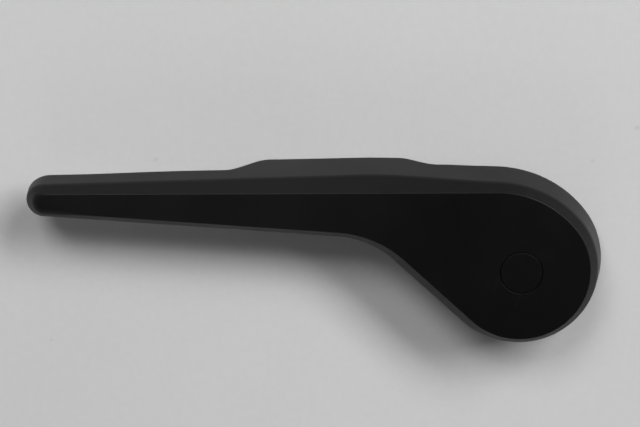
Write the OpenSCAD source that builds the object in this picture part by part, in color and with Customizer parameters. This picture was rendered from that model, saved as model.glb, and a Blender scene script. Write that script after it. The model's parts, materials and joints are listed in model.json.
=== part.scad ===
// Lever-type inside release handle for a vehicle door.
// The origin is on the pivot axis at the mounting plane. +Z points out of the visible face,
// and the arm reaches along -X. The tip swings towards +Y when the lever is pulled.

/* [Lever outline] */
// Radius of the flat face round the hub
hub_r = 20.5; // [20:0.1:21.5]
// Radius of the wider arc at the upper corner of the hub
crown_r = 29.5; // [26:0.5:33]
// Direction at which the wider arc meets the hub radius, degrees
crown_end = 40; // [35:1:50]
// Distance from the pivot axis to the tip of the flat face
reach = 144; // [140:1:152]
// Radius of the tip of the flat face
tip_r = 2.7; // [2.5:0.1:3.2]
// Fall of the upper edge towards the tip, degrees
upper_slope = 0.9; // [0.6:0.1:1.2]
// Rise of the lower edge towards the tip, degrees
lower_slope = 3.3; // [3:0.1:3.6]
// Slope of the flank between arm and hub, degrees
flank_slope = 42; // [40:1:44]
// Radius of the hollow curve between arm and flank
hollow_r = 32; // [28:1:36]

/* [Lever section] */
// Height of the flat face above the mounting plane
face_z = 22; // [22:0.1:23]
// Thickness of the moulded walls
wall = 2; // [1.8:0.1:2.2]
// Thickness of the face
face_t = 2.4; // [2.2:0.1:2.6]
// Angle of the bevel below the face plane, degrees
bevel_angle = 55.5; // [52:0.5:58]
// Outward lean of the skirt, degrees
draft_angle = 10.5; // [9:0.5:12]
// Width of the bevel along the upper edge at the middle of the arm
bevel_arm = 4.3; // [3.8:0.1:4.8]
// Width of the bevel along the upper edge at the tip
bevel_tip = 2.3; // [2:0.1:2.6]
// Width of the bevel at the far end of the hub
bevel_end = 2.7; // [2.4:0.1:3]
// Width of the bevel along the lower edge
bevel_under = 1.8; // [1.6:0.1:2.2]
// Width of the bevel on faces that look towards the tip
bevel_nose = 3.8; // [3.4:0.1:4.2]

/* [Skirt rim heights] */
// Height of the rim under the tip
rim_tip_z = 10.2; // [10:0.1:10.3]
// Height of the rim along the arm
rim_arm_z = 9; // [8:0.1:9.6]
// Height of the rim round the hub
rim_hub_z = 5; // [4.6:0.1:5.4]
// Height of the rim on the deep part of the upper skirt
rim_deep_z = 0.9; // [0.6:0.1:2]
// Far end of the deep part's long ramp
deep_start = -88.5; // [-92:0.5:-86]
// Near end of the deep part's short ramp
deep_end = -24; // [-26:0.5:-23]

/* [Pivot] */
// Radius of the sleeve in its bush
journal_r = 8; // [7.9:0.05:8.05]
// Radial running clearance of the sleeve
run_gap = 0.05; // [0.02:0.01:0.08]
// Width of the square spindle socket
socket_w = 8.1; // [7.8:0.1:8.4]
// Depth of the square spindle socket
socket_depth = 8.4; // [7.6:0.1:8.8]
// Travel of the lever from rest to its end stop, degrees
travel = 42; // [36:1:44]

/* [Base] */
// Radius of the base flange
base_r = 21.5; // [21.2:0.1:21.6]
// Thickness of the base flange
base_t = 3.4; // [3:0.1:3.6]
// Pitch circle radius of the threaded inserts
insert_pitch_r = 16; // [15.8:0.1:16.2]
// Bore radius of the threaded inserts
insert_bore_r = 2; // [1.6:0.1:2.1]

/* [Return spring] */
// Mean radius of the spring coil
spring_r = 13.6; // [13.5:0.1:13.8]
// Diameter of the spring wire
wire_d = 1.6; // [1.2:0.1:1.6]

/* [Hidden] */
$fn = 64;
eps = 0.01;

plastic_black = "#1c1c1e";
cover_black = "#2a2a2c";
steel = "#a9adb2";
zinc = "#c3c7cc";
brass = "#b8964a";
rubber_black = "#151515";
felt_grey = "#55585c";
base_grey = "#3a3d41";
bush_white = "#d8d6cc";

// Face outline: the arcs' centres and the points where lines and arcs meet
hub_c = [-0.4, 0.3];
upper_n = [-sin(upper_slope), cos(upper_slope)];
lower_n = [-sin(lower_slope), -cos(lower_slope)];
flank_n = [-sin(flank_slope), -cos(flank_slope)];
crown_c = hub_c + (hub_r - crown_r) * [cos(crown_end), sin(crown_end)];
upper_hub = crown_c + crown_r * upper_n;
tip_x = tip_r - reach;
tip_c = upper_on(tip_x + tip_r * upper_n.x) - tip_r * upper_n;
lower_tip = tip_c + tip_r * lower_n;
flank_hub = hub_c + hub_r * flank_n;
hollow_c = meet(lower_n, hollow_r + lower_tip * lower_n, flank_n, hollow_r + flank_hub * flank_n);
lower_hollow = hollow_c - hollow_r * lower_n;
flank_hollow = hollow_c - hollow_r * flank_n;
split_angle = -45;

// Samples along each stretch, the same number above and below
n_tip = 5;
n_arm = 30;
n_hollow = 8;
n_flank = 6;
n_crown = 8;
n_hub = 10;

// Every outline point as [x, y, normal x, normal y], clockwise from the tip
EDGE = concat(
    arc(tip_c, tip_r, 180, 90 + upper_slope, n_tip),
    run(upper_on(tip_x + tip_r * upper_n.x), upper_on(lower_hollow.x), upper_n, n_arm),
    run(upper_on(lower_hollow.x), upper_on(flank_hollow.x), upper_n, n_hollow),
    run(upper_on(flank_hollow.x), upper_hub, upper_n, n_flank),
    arc(crown_c, crown_r, 90 + upper_slope, crown_end, n_crown),
    arc(hub_c, hub_r, crown_end, split_angle, n_hub),
    arc(hub_c, hub_r, split_angle, -90 - flank_slope, n_crown + n_hub),
    run(flank_hub, flank_hollow, flank_n, n_flank),
    arc(hollow_c, hollow_r, 90 - flank_slope, 90 - lower_slope, n_hollow, -1),
    run(lower_hollow, lower_tip, lower_n, n_arm),
    arc(tip_c, tip_r, 270 - lower_slope, 180, n_tip)
);
HALF = len(EDGE) / 2;

// Skirt and bevel
ceiling_z = face_z - face_t;
bevel_hub = 2.3;
edge_break = 0.3;
inner_step = 1;
bevel_peak_x = -46;
deep_long_ramp = 12.5;
deep_short_ramp = 12;

// Heights of the stack on the pivot axis
sleeve_z = 0.6;
ring_z = 1.05;
ring_t = 1.1;
recess_z = 3.2;
housing_z = 9.4;
bush_flange_t = 1;
thrust_t = 0.5;
sleeve_flange_z = 11;
core_z = 12.3;
core_t = 2;
core_top = core_z + core_t;
stake_h = 0.3;
washer_z = core_top + stake_h;
washer_t = 1;
head_z = washer_z + washer_t;
head_h = 2.5;
screw_tip_z = 5.7;
float_gap = 0.05;

// Radii of the stack
bush_r = 9.6;
housing_r = 12;
recess_r = 11.5;
sleeve_flange_r = 11;
square_w = 12;
ring_r = 10;
groove_r = 7.2;
boss_r = 11.4;
boss_bore_r = 8.7;
spindle_screw_r = 2.5;
screw_washer_r = 4.9;
pan_head_r = 4.1;
hex_r = 2;
hex_floor = 0.7;
wave_r = 10.9;

// Clip-in cap over the spindle screw
cap_r = 6.1;
cap_gap = 0.2;
cap_t = 1.4;
cap_sink = 0.1;
cap_recess = 1.6;
cap_hole_r = 5.2;
cap_leg_r = 5.05;
cap_leg_bore_r = 4.35;
cap_leg_z = 18.6;
cap_slot_w = 2.4;

// Retaining ring: the gap in it and its two lug holes
ring_bore_r = 7.3;
ring_gap = 5;
lug_x = 4.2;
lug_y = -8.2;
lug_r = 0.6;

// Fasteners: [x, y] of each, with the countersunk screws' sizes
core_screw_ring_r = 14.5;
core_screw_angles = [30, 152, 270];
core_screw_arm_x = [-55, -98];
core_screw_points = concat(
    [for (a = core_screw_angles) polar(core_screw_ring_r, a)],
    [for (x = core_screw_arm_x) [x, arm_mid(x)]]
);
cover_screw_points = [[-124, arm_mid(-124)], [-33, 20.3]];
post_r = 2.9;
cover_post_r = 2.3;
thread_r = 1.25;
screw_head_r = 2.6;
screw_head_h = 1.4;
sink_margin = 0.6;
screw_hole_gap = 0.25;
core_screw_len = 7;
cover_screw_len = 6;

// Felt block between the core and the face
damper_x = -67;
damper_l = 12;
damper_w = 6.4;

// Rear cover
cover_z = 10.4;
cover_t = 1.5;
cover_gap = 0.25;
cover_near_x = -27;

// Stops: the core's tab moves between two rubber buffers
tab_angle = 60;
tab_r = 17;
tab_w = 6;
tab_t = 2;
tab_bottom = 5.3;
buffer_w = 4.4;
buffer_t = 4;
buffer_h = 4.6;
buffer_back_t = 1.8;
peg_r = 1.3;
peg_depth = 2.5;
stop_gap = 0.08;
tab_half = atan((tab_w / 2) / (tab_r - tab_t / 2));
rest_angle = tab_angle + tab_half;
end_angle = tab_angle - travel - tab_half;

// Spring pins and coil
pin_r = 1.25;
pin_pitch_r = 16.4;
drive_angle = 205;
drive_pin_z = 9.6;
anchor_angle = 250;
anchor_pin_z = 1.5;
anchor_pin_h = 6.5;
anchor_boss_r = 2.2;
anchor_boss_top = 4.7;
spring_low_z = 5.6;
spring_turns = 3;
spring_pitch = 1.65;
spring_leg = 12;
ring_steps = 22;
wire_sides = 8;

// Base plate details
step_z = 4.2;
step_r = 19.4;
insert_boss_r = 3.1;
insert_boss_top = 4.8;
insert_r = 2.8;
insert_z = 0.2;
insert_top = 4;
insert_angles = [40, 160, 280];
seal_out_r = 20.6;
seal_in_r = 19.3;
seal_h = 1.2;

function polar(r, a) = [r * cos(a), r * sin(a)];
function smooth(k) = let(c = max(0, min(1, k))) c * c * (3 - 2 * c);
function mix(a, b, k) = a + (b - a) * k;

// Point of the upper edge's straight line at x
function upper_on(x) = [x, upper_hub.y + (x - upper_hub.x) * tan(upper_slope)];
// Point of the lower edge's straight line at x
function lower_on(x) = [x, lower_tip.y - (x - lower_tip.x) * tan(lower_slope)];
// Middle of the face's width at x on the arm
function arm_mid(x) = (upper_on(x).y + lower_on(x).y) / 2;
// Where two lines meet, each given by its normal and its distance along it
function meet(n1, d1, n2, d2) =
    let(det = n1.x * n2.y - n1.y * n2.x)
    [(d1 * n2.y - d2 * n1.y) / det, (n1.x * d2 - n2.x * d1) / det];

function arc(c, r, a0, a1, n, side = 1) =
    [for (i = [0:n - 1]) let(a = mix(a0, a1, i / n), u = polar(1, a))
        [c.x + r * u.x, c.y + r * u.y, side * u.x, side * u.y]];
function run(p, q, normal, n) =
    [for (i = [0:n - 1]) let(s = mix(p, q, i / n)) [s.x, s.y, normal.x, normal.y]];

// Bevel width at an outline point, from the way the point faces
function bevel_upper(x) =
    x < bevel_peak_x ? mix(bevel_tip, bevel_arm, (x + reach) / (bevel_peak_x + reach))
                     : mix(bevel_arm, bevel_hub, smooth((x - bevel_peak_x) / -bevel_peak_x));
function bevel(e) =
    (e[3] > 0 ? bevel_upper(e[0]) : bevel_under) * e[3] * e[3]
    + (e[2] > 0 ? bevel_end : bevel_nose) * e[2] * e[2];
function bevel_z(e) = face_z - bevel(e) * tan(bevel_angle);

// Rim height at an outline point
function rim_plain(x) =
    mix(rim_arm_z, rim_hub_z, smooth((x + 45) / 25))
    + (rim_tip_z - rim_arm_z) * smooth((-100 - x) / 36);
function deep_part(x) =
    smooth((x - deep_start) / deep_long_ramp) * smooth((deep_end - x) / deep_short_ramp);
function rim_z(e) =
    e[3] > 0.3 ? mix(rim_plain(e[0]), rim_deep_z, deep_part(e[0])) : rim_plain(e[0]);
function rim_out(e) = bevel(e) + (bevel_z(e) - rim_z(e)) * tan(draft_angle);

// Distance of the skirt's inner face from the face outline, at height z
function inner_out(e, z) = bevel(e) - wall + (bevel_z(e) - inner_step - z) * tan(draft_angle);

// An outline point moved out by d, at height z
function at(e, d, z) = [e[0] + d * e[2], e[1] + d * e[3], z];

// Closed skin through levels of the same number of points; pairs join across the end faces
function cap_faces(base, n, up) =
    let(m = n / 2, tris = concat(
        [[0, 1, n - 1], [m - 1, m, m + 1]],
        [for (i = [1:m - 2]) each [[i, i + 1, n - i - 1], [i, n - i - 1, n - i]]]))
    [for (t = tris) let(f = [for (k = t) base + k]) up ? f : [f[0], f[2], f[1]]];
function skin_faces(levels, n) = concat(
    cap_faces(0, n, true),
    [for (k = [0:levels - 2], i = [0:n - 1])
        let(a = k * n + i, b = k * n + (i + 1) % n, c = b + n, d = a + n)
        each [[a, d, c], [a, c, b]]],
    cap_faces((levels - 1) * n, n, false)
);
module skin(levels) {
    n = len(levels[0]);
    polyhedron(
        points = [for (level = levels) each level],
        faces = skin_faces(len(levels), n)
    );
}

module tube(r_out, r_in, h) {
    difference() {
        cylinder(r = r_out, h = h);
        translate([0, 0, -eps]) cylinder(r = r_in, h = h + 2 * eps);
    }
}

module at_points(points) {
    for (p = points) translate([p.x, p.y, 0]) children();
}

module countersunk_screw(z, length) {
    translate([0, 0, z]) {
        cylinder(r1 = screw_head_r, r2 = thread_r, h = screw_head_h);
        cylinder(r = thread_r, h = length);
    }
}

// Clearance for a countersunk screw whose head is flush at z
module countersink(z) {
    translate([0, 0, z - 1]) cylinder(r = thread_r + screw_hole_gap, h = 5);
    translate([0, 0, z - 0.5]) cylinder(
        r1 = screw_head_r + sink_margin, r2 = thread_r + 0.1, h = screw_head_h + sink_margin
    );
}

// Lever body

module shell_skin() {
    skin([
        [for (e = EDGE) at(e, -edge_break, face_z)],
        [for (e = EDGE) at(e, edge_break / tan(bevel_angle), face_z - edge_break)],
        [for (e = EDGE) at(e, bevel(e), bevel_z(e))],
        [for (e = EDGE) at(e, rim_out(e), rim_z(e))],
        [for (e = EDGE) at(e, inner_out(e, rim_z(e)), rim_z(e))],
        [for (e = EDGE) at(e, inner_out(e, bevel_z(e) - inner_step), bevel_z(e) - inner_step)],
        [for (e = EDGE) at(e, -inner_step, ceiling_z)]
    ]);
}

module arm_ribs() {
    rib_t = 1.2;
    rib_x = [-76, -88, -112];
    intersection() {
        translate([0, 0, core_top + 0.6])
            linear_extrude(height = ceiling_z - core_top - 0.5)
                polygon([for (e = EDGE) [e[0], e[1]]]);
        for (x = rib_x) translate([x, 10, 0]) cube([rib_t, 20, face_z]);
    }
}

module lever_shell() color(plastic_black) difference() {
    union() {
        shell_skin();
        translate([0, 0, core_top]) cylinder(r = boss_r, h = ceiling_z + 0.1 - core_top);
        at_points(core_screw_points) translate([0, 0, core_top])
            cylinder(r = post_r, h = ceiling_z + 0.1 - core_top);
        at_points(cover_screw_points) translate([0, 0, cover_z + cover_t])
            cylinder(r = cover_post_r, h = ceiling_z + 0.1 - cover_z - cover_t);
        arm_ribs();
    }
    translate([0, 0, core_top - 1]) cylinder(r = boss_bore_r, h = ceiling_z - core_top);
    translate([0, 0, core_top]) cylinder(r = cap_hole_r, h = face_t + 10);
    translate([0, 0, face_z - cap_recess]) cylinder(r = cap_r + cap_gap, h = 2);
    at_points(core_screw_points) translate([0, 0, core_top - 1])
        cylinder(r = thread_r, h = core_screw_len);
    at_points(cover_screw_points) translate([0, 0, cover_z])
        cylinder(r = thread_r, h = cover_screw_len + 1);
}

module hub_cap() color(plastic_black) {
    disc_z = face_z - cap_sink - cap_t;
    difference() {
        union() {
            translate([0, 0, disc_z]) cylinder(r = cap_r, h = cap_t);
            translate([0, 0, cap_leg_z]) cylinder(r = cap_leg_r, h = disc_z + cap_t / 2 - cap_leg_z);
        }
        translate([0, 0, cap_leg_z - 1]) cylinder(r = cap_leg_bore_r, h = disc_z - cap_leg_z + 1);
        for (a = [45, 135]) rotate([0, 0, a])
            translate([-cap_r, -cap_slot_w / 2, cap_leg_z - 1])
                cube([2 * cap_r, cap_slot_w, disc_z - cap_leg_z + 1]);
    }
}

module core_plate() {
    lobes = concat(
        [for (a = core_screw_angles) [core_screw_ring_r, a]],
        [[pin_pitch_r, drive_angle], [tab_r - tab_w / 3, tab_angle]]
    );
    arm_end = core_screw_arm_x[1] - 6;
    bend_x = core_screw_arm_x[0] + 7;
    translate([0, 0, core_z]) linear_extrude(height = core_t) union() {
        circle(r = 13);
        for (lobe = lobes) rotate(lobe[1]) {
            translate([lobe[0], 0]) circle(r = tab_w / 2);
            translate([0, -tab_w / 2]) square([lobe[0], tab_w]);
        }
        polygon([
            [-8, 10], [bend_x, arm_mid(bend_x) + 3.5], [arm_end, arm_mid(arm_end) + 3.8],
            [arm_end, arm_mid(arm_end) - 3.8], [bend_x, arm_mid(bend_x) - 4.5], [-12, -4]
        ]);
    }
}

module steel_core() color(steel) {
    difference() {
        union() {
            core_plate();
            rotate([0, 0, tab_angle]) translate([tab_r - tab_t / 2, -tab_w / 2, tab_bottom])
                cube([tab_t, tab_w, core_z + core_t - tab_bottom]);
        }
        translate([-square_w / 2, -square_w / 2, core_z - 1]) cube([square_w, square_w, 5]);
        at_points(core_screw_points) countersink(core_z);
        translate(concat(polar(pin_pitch_r, drive_angle), core_z - 1)) cylinder(r = pin_r, h = 5);
    }
}

module core_screws() color(zinc)
    at_points(core_screw_points) countersunk_screw(core_z, core_screw_len);

module hub_sleeve() color(steel) difference() {
    union() {
        translate([0, 0, sleeve_z]) cylinder(r = journal_r, h = sleeve_flange_z - sleeve_z + 0.5);
        translate([0, 0, sleeve_flange_z]) cylinder(r = sleeve_flange_r, h = core_z - sleeve_flange_z);
        translate([-square_w / 2, -square_w / 2, core_z - 0.5])
            cube([square_w, square_w, core_t + stake_h + 0.5]);
    }
    translate([-socket_w / 2, -socket_w / 2, sleeve_z - 1]) cube([socket_w, socket_w, socket_depth + 1]);
    cylinder(r = spindle_screw_r + 0.2, h = face_z);
    translate([0, 0, ring_z - float_gap]) tube(ring_r, groove_r, ring_t + 2 * float_gap);
}

module spindle_screw() color(zinc) difference() {
    union() {
        translate([0, 0, screw_tip_z]) cylinder(r = spindle_screw_r, h = head_z + 0.5 - screw_tip_z);
        translate([0, 0, head_z]) cylinder(r = pan_head_r, h = head_h);
    }
    translate([0, 0, head_z + hex_floor]) cylinder(r = hex_r, h = head_h, $fn = 6);
}

module screw_washer() color(zinc) translate([0, 0, washer_z])
    tube(screw_washer_r, spindle_screw_r + 0.15, washer_t);

module drive_pin() color(steel)
    translate(concat(polar(pin_pitch_r, drive_angle), drive_pin_z))
        cylinder(r = pin_r, h = core_top - drive_pin_z);

module arm_damper() color(felt_grey)
    translate([damper_x - damper_l / 2, arm_mid(damper_x) - damper_w / 2, core_top])
        cube([damper_l, damper_w, ceiling_z - core_top]);

// The outline points that lie on the arm, as far as the cover's near end
function cover_edge() =
    let(count = len([for (i = [0:HALF - 1]) if (EDGE[i][0] < cover_near_x) i]))
    concat([for (i = [0:count - 1]) EDGE[i]], [for (i = [2 * HALF - count:2 * HALF - 1]) EDGE[i]]);

module cover_plate() {
    edge = cover_edge();
    n = len(edge);
    m = n / 2;
    levels = [cover_z + cover_t, cover_z];
    points = [for (z = levels, e = edge) at(e, inner_out(e, z) - cover_gap, z)];
    // Pair i of the upper side lies across from point n - i, and the near end is a straight cut
    top = concat(
        [[0, 1, n - 1]],
        [for (i = [1:m - 2]) each [[i, i + 1, n - i - 1], [i, n - i - 1, n - i]]],
        [[m - 1, m, m + 1]]
    );
    sides = [for (i = [0:n - 1]) let(j = (i + 1) % n) each [[i, i + n, j + n], [i, j + n, j]]];
    bottom = [for (t = top) [t[0] + n, t[2] + n, t[1] + n]];
    polyhedron(points = points, faces = concat(top, sides, bottom));
}

module rear_cover() color(cover_black) difference() {
    cover_plate();
    at_points(cover_screw_points) countersink(cover_z);
}

module cover_screws() color(zinc)
    at_points(cover_screw_points) countersunk_screw(cover_z, cover_screw_len);

module thrust_washer() color(steel)
    translate([0, 0, sleeve_flange_z - thrust_t]) tube(housing_r, journal_r + 0.3, thrust_t);

module retaining_ring() color(steel) difference() {
    translate([0, 0, ring_z]) tube(ring_r, ring_bore_r, ring_t);
    translate([-ring_gap / 2, -ring_r - 1, 0]) cube([ring_gap, ring_r, 5]);
    for (side = [-1, 1]) translate([side * lug_x, lug_y, 0]) cylinder(r = lug_r, h = 5);
}

// Base body

module buffer_at(angle, side) {
    // The buffer lies just past the tab, on the side that the tab comes from or goes to
    y = side > 0 ? stop_gap : -buffer_t - stop_gap;
    rotate([0, 0, angle]) translate([tab_r - buffer_w / 2, y, step_z]) children();
}

// Rib that backs a buffer, on its far side
module buffer_post(side) {
    back = side > 0 ? buffer_t : -buffer_back_t;
    translate([0.6, back, -1]) cube([buffer_w - 1.2, buffer_back_t, buffer_h]);
}

module buffer_peg() {
    translate([buffer_w / 2, buffer_t / 2, -peg_depth]) cylinder(r = peg_r, h = peg_depth + 0.5);
}

module base_plate() color(base_grey) difference() {
    union() {
        cylinder(r = base_r, h = base_t);
        cylinder(r = step_r, h = step_z);
        cylinder(r = housing_r, h = housing_z);
        for (a = insert_angles) rotate([0, 0, a]) translate([insert_pitch_r, 0, 0])
            cylinder(r = insert_boss_r, h = insert_boss_top);
        buffer_at(rest_angle, 1) buffer_post(1);
        buffer_at(end_angle, -1) buffer_post(-1);
        rotate([0, 0, anchor_angle]) translate([pin_pitch_r, 0, 0])
            cylinder(r = anchor_boss_r, h = anchor_boss_top);
    }
    translate([0, 0, -1]) cylinder(r = recess_r, h = recess_z + 1);
    translate([0, 0, -1]) cylinder(r = bush_r, h = housing_z + 2);
    for (a = insert_angles) rotate([0, 0, a]) translate([insert_pitch_r, 0, -1])
        cylinder(r = insert_r, h = insert_top + 1);
    rotate([0, 0, anchor_angle]) translate([pin_pitch_r, 0, anchor_pin_z])
        cylinder(r = pin_r, h = anchor_boss_top);
    translate([0, 0, -1]) tube(seal_out_r, seal_in_r, seal_h + 1);
    buffer_at(rest_angle, 1) buffer_peg();
    buffer_at(end_angle, -1) buffer_peg();
}

module buffer_block(angle, side) color(rubber_black) buffer_at(angle, side) {
    cube([buffer_w, buffer_t, buffer_h]);
    buffer_peg();
}
module rest_buffer() buffer_block(rest_angle, 1);
module end_buffer() buffer_block(end_angle, -1);

module bearing_bush() color(bush_white) difference() {
    union() {
        translate([0, 0, recess_z]) cylinder(r = bush_r, h = housing_z - recess_z + 0.5);
        translate([0, 0, housing_z]) cylinder(r = housing_r, h = bush_flange_t);
    }
    cylinder(r = journal_r + run_gap, h = face_z);
}

module wave_washer() color(steel)
    translate([0, 0, ring_z + ring_t + float_gap])
        tube(wave_r, journal_r + 0.3, recess_z - ring_z - ring_t - 2 * float_gap);

module threaded_inserts() color(brass)
    for (a = insert_angles) rotate([0, 0, a]) translate([insert_pitch_r, 0, insert_z])
        tube(insert_r, insert_bore_r, insert_top - insert_z);

module anchor_pin() color(steel)
    rotate([0, 0, anchor_angle]) translate([pin_pitch_r, 0, anchor_pin_z])
        cylinder(r = pin_r, h = anchor_pin_h);

module base_seal() color(felt_grey) tube(seal_out_r, seal_in_r, seal_h);

// Torsion spring: coil with a straight leg from each end, past its pin
function spring_path() =
    let(
        low_a = anchor_angle - 42, turn = 360 * spring_turns + drive_angle - low_a + 28,
        count = round(turn / 360 * ring_steps),
        coil = [for (i = [0:count]) let(a = low_a + turn * i / count)
            [spring_r * cos(a), spring_r * sin(a), spring_low_z + spring_pitch * (a - low_a) / 360]],
        low_dir = [sin(low_a), -cos(low_a), 0], high_a = low_a + turn,
        high_dir = [-sin(high_a), cos(high_a), 0]
    )
    concat([coil[0] + spring_leg * low_dir], coil, [coil[count] + spring_leg * high_dir]);
function unit(v) = v / norm(v);
module wire(path, r) {
    n = len(path);
    rings = [for (i = [0:n - 1])
        let(
            t = unit(path[min(i + 1, n - 1)] - path[max(i - 1, 0)]),
            side = unit(cross([0, 0, 1], t)), up = cross(t, side)
        )
        [for (k = [0:wire_sides - 1]) let(a = 360 * k / wire_sides)
            path[i] + r * (cos(a) * side + sin(a) * up)]];
    s = wire_sides;
    ends = [[for (k = [0:s - 1]) k], [for (k = [s - 1:-1:0]) (n - 1) * s + k]];
    walls = [for (i = [0:n - 2], k = [0:s - 1]) let(j = (k + 1) % s)
        each [[i * s + k, (i + 1) * s + j, i * s + j], [i * s + k, (i + 1) * s + k, (i + 1) * s + j]]];
    polyhedron(points = [for (ring = rings) each ring], faces = concat(ends, walls));
}
module return_spring() color(zinc) wire(spring_path(), wire_d / 2);

lever_shell();
hub_cap();
steel_core();
core_screws();
hub_sleeve();
spindle_screw();
screw_washer();
drive_pin();
arm_damper();
rear_cover();
cover_screws();
thrust_washer();
retaining_ring();
base_plate();
bearing_bush();
wave_washer();
threaded_inserts();
rest_buffer();
end_buffer();
anchor_pin();
base_seal();
return_spring();
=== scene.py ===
"""Looks of the lever-type door release handle: meshes, materials, light and camera round the pack."""
import json
import math

import bmesh
import bpy
import numpy as np
from mathutils import Matrix, Vector


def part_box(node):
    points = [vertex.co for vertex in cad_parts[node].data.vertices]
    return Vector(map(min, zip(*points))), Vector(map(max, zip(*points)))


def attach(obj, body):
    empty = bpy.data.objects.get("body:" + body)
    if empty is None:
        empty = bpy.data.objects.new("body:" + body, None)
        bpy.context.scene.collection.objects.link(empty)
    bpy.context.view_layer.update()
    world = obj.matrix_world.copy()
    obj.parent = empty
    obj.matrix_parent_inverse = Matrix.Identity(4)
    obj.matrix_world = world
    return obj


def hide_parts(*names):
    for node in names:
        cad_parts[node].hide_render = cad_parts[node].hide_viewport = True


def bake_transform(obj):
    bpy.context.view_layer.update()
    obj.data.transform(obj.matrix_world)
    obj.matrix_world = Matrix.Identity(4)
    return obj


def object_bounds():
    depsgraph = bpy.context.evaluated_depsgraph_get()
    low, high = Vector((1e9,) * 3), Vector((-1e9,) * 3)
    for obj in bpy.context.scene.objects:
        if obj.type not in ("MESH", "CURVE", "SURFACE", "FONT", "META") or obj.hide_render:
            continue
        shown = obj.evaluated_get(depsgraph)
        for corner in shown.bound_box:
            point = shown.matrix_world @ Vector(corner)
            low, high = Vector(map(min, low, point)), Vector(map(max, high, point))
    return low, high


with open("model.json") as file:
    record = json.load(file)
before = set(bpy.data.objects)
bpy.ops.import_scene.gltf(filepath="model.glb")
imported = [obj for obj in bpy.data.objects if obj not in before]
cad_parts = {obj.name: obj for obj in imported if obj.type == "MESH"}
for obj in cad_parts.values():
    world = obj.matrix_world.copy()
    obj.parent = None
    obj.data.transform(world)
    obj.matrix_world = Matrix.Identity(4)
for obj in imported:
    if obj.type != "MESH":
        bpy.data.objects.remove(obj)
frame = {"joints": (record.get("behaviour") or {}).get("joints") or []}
cad_low, cad_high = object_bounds()
MM = 0.001

# ---------------- driving sizes: millimetres and degrees
# These repeat the CAD model's own driving dimensions. The origin is on the pivot axis at the mounting plane.

# Outline of the lever's flat face
HUB_CENTRE = np.array([-0.4, 0.3])
HUB_R = 20.5
CROWN_R, CROWN_END = 29.5, 40.0  # the flatter arc over the hub, and the angle where it ends
REACH = 144.0  # from the pivot to the tip
TIP_R = 2.7
UPPER_SLOPE, LOWER_SLOPE, FLANK_SLOPE = 0.9, 3.3, 42.0
HOLLOW_R = 32.0  # between the arm's lower edge and the hub's flank
HUB_SPLIT = -45.0  # angle that parts the outline into an upper and a lower half

# Bevel and skirt round the face
FACE_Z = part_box("lever_shell")[1].z / MM
WALL, FACE_T = 2.0, 2.4
CEILING_Z = FACE_Z - FACE_T
BEVEL_TAN = math.tan(math.radians(55.5))
DRAFT_TAN = math.tan(math.radians(10.5))
BEVEL_TIP, BEVEL_ARM, BEVEL_HUB = 2.3, 4.3, 2.3  # widths along the upper side
BEVEL_END, BEVEL_UNDER, BEVEL_NOSE = 2.7, 1.8, 3.8  # widths at the hub's end, below and at the tip
BEVEL_PEAK_X = -46.0
RIM_TIP_Z, RIM_ARM_Z, RIM_HUB_Z, RIM_DEEP_Z = 10.2, 9.0, 5.0, 0.9
TIP_RISE_X, TIP_RISE = -100.0, 36.0  # where the rim starts to rise towards the tip, and over what length
HUB_FALL_X, HUB_FALL = -45.0, 25.0  # the same for its fall towards the hub
DEEP_START, DEEP_END = -88.5, -24.0
LONG_RAMP, SHORT_RAMP = 12.5, 12.0
UPPER_SIDE = 0.3  # the least upward part of a normal that belongs to the upper side


# ---------------- small geometry tools
def smooth(k):
    """Eases from 0 to 1 as k does."""
    c = np.clip(k, 0.0, 1.0)
    return c * c * (3 - 2 * c)


def mix(a, b, k):
    return a + (b - a) * k


def polar(radius, degrees):
    a = math.radians(degrees)
    return np.array([radius * math.cos(a), radius * math.sin(a)])


def full_turn(steps):
    """Angles of a full turn, in radians."""
    return 2 * math.pi * np.arange(steps) / steps


def unit_rows(v):
    return v / np.maximum(np.linalg.norm(v, axis=1, keepdims=True), 1e-12)


def linked(name, data):
    """A new object in the scene."""
    made = bpy.data.objects.new(name, data)
    bpy.context.scene.collection.objects.link(made)
    return made


def new_object(name, points, faces):
    """A mesh object from points in millimetres."""
    mesh = bpy.data.meshes.new(name)
    mesh.from_pydata((np.asarray(points, float) * MM).tolist(), [], faces)
    mesh.validate()
    return linked(name, mesh)


def quads(rows, count, closed=False, flipped=False):
    """Faces between neighbouring rings of count points; closed also joins the last ring to the first."""
    faces = []
    for k in range(rows if closed else rows - 1):
        here, there = k * count, (k + 1) % rows * count
        for i in range(count):
            j = (i + 1) % count
            if flipped:
                faces.append((here + i, there + i, there + j, here + j))
            else:
                faces.append((here + i, here + j, there + j, there + i))
    return faces


def tube(name, rings):
    """A solid through rings of equal length, with a flat cap at each end."""
    rows, count = len(rings), len(rings[0])
    faces = quads(rows, count)
    faces += [tuple(range(count))[::-1], tuple((rows - 1) * count + i for i in range(count))]
    return new_object(name, np.concatenate(rings), faces)


def round_rings(radii, z, centre):
    """Rings about a vertical axis: radii holds one row of radii for each height in z."""
    angles = full_turn(radii.shape[1])
    return np.stack([
        centre[0] + radii * np.cos(angles),
        centre[1] + radii * np.sin(angles),
        np.broadcast_to(z[:, None], radii.shape),
    ], 2)


def shade(piece, sharp_degrees=38):
    """Smooth shading with sharp edges where faces meet steeply, weighted so that flat faces stay flat."""
    mesh = piece.data
    mesh.polygons.foreach_set("use_smooth", [True] * len(mesh.polygons))
    mesh.set_sharp_from_angle(angle=math.radians(sharp_degrees))
    weighted = piece.modifiers.new("weighted", "WEIGHTED_NORMAL")
    weighted.keep_sharp = True
    return piece


def bake(piece):
    """Turns the piece's modifiers into geometry."""
    bpy.context.view_layer.update()
    evaluated = piece.evaluated_get(bpy.context.evaluated_depsgraph_get())
    mesh = bpy.data.meshes.new_from_object(evaluated)
    piece.modifiers.clear()
    piece.data = mesh
    return piece


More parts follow.
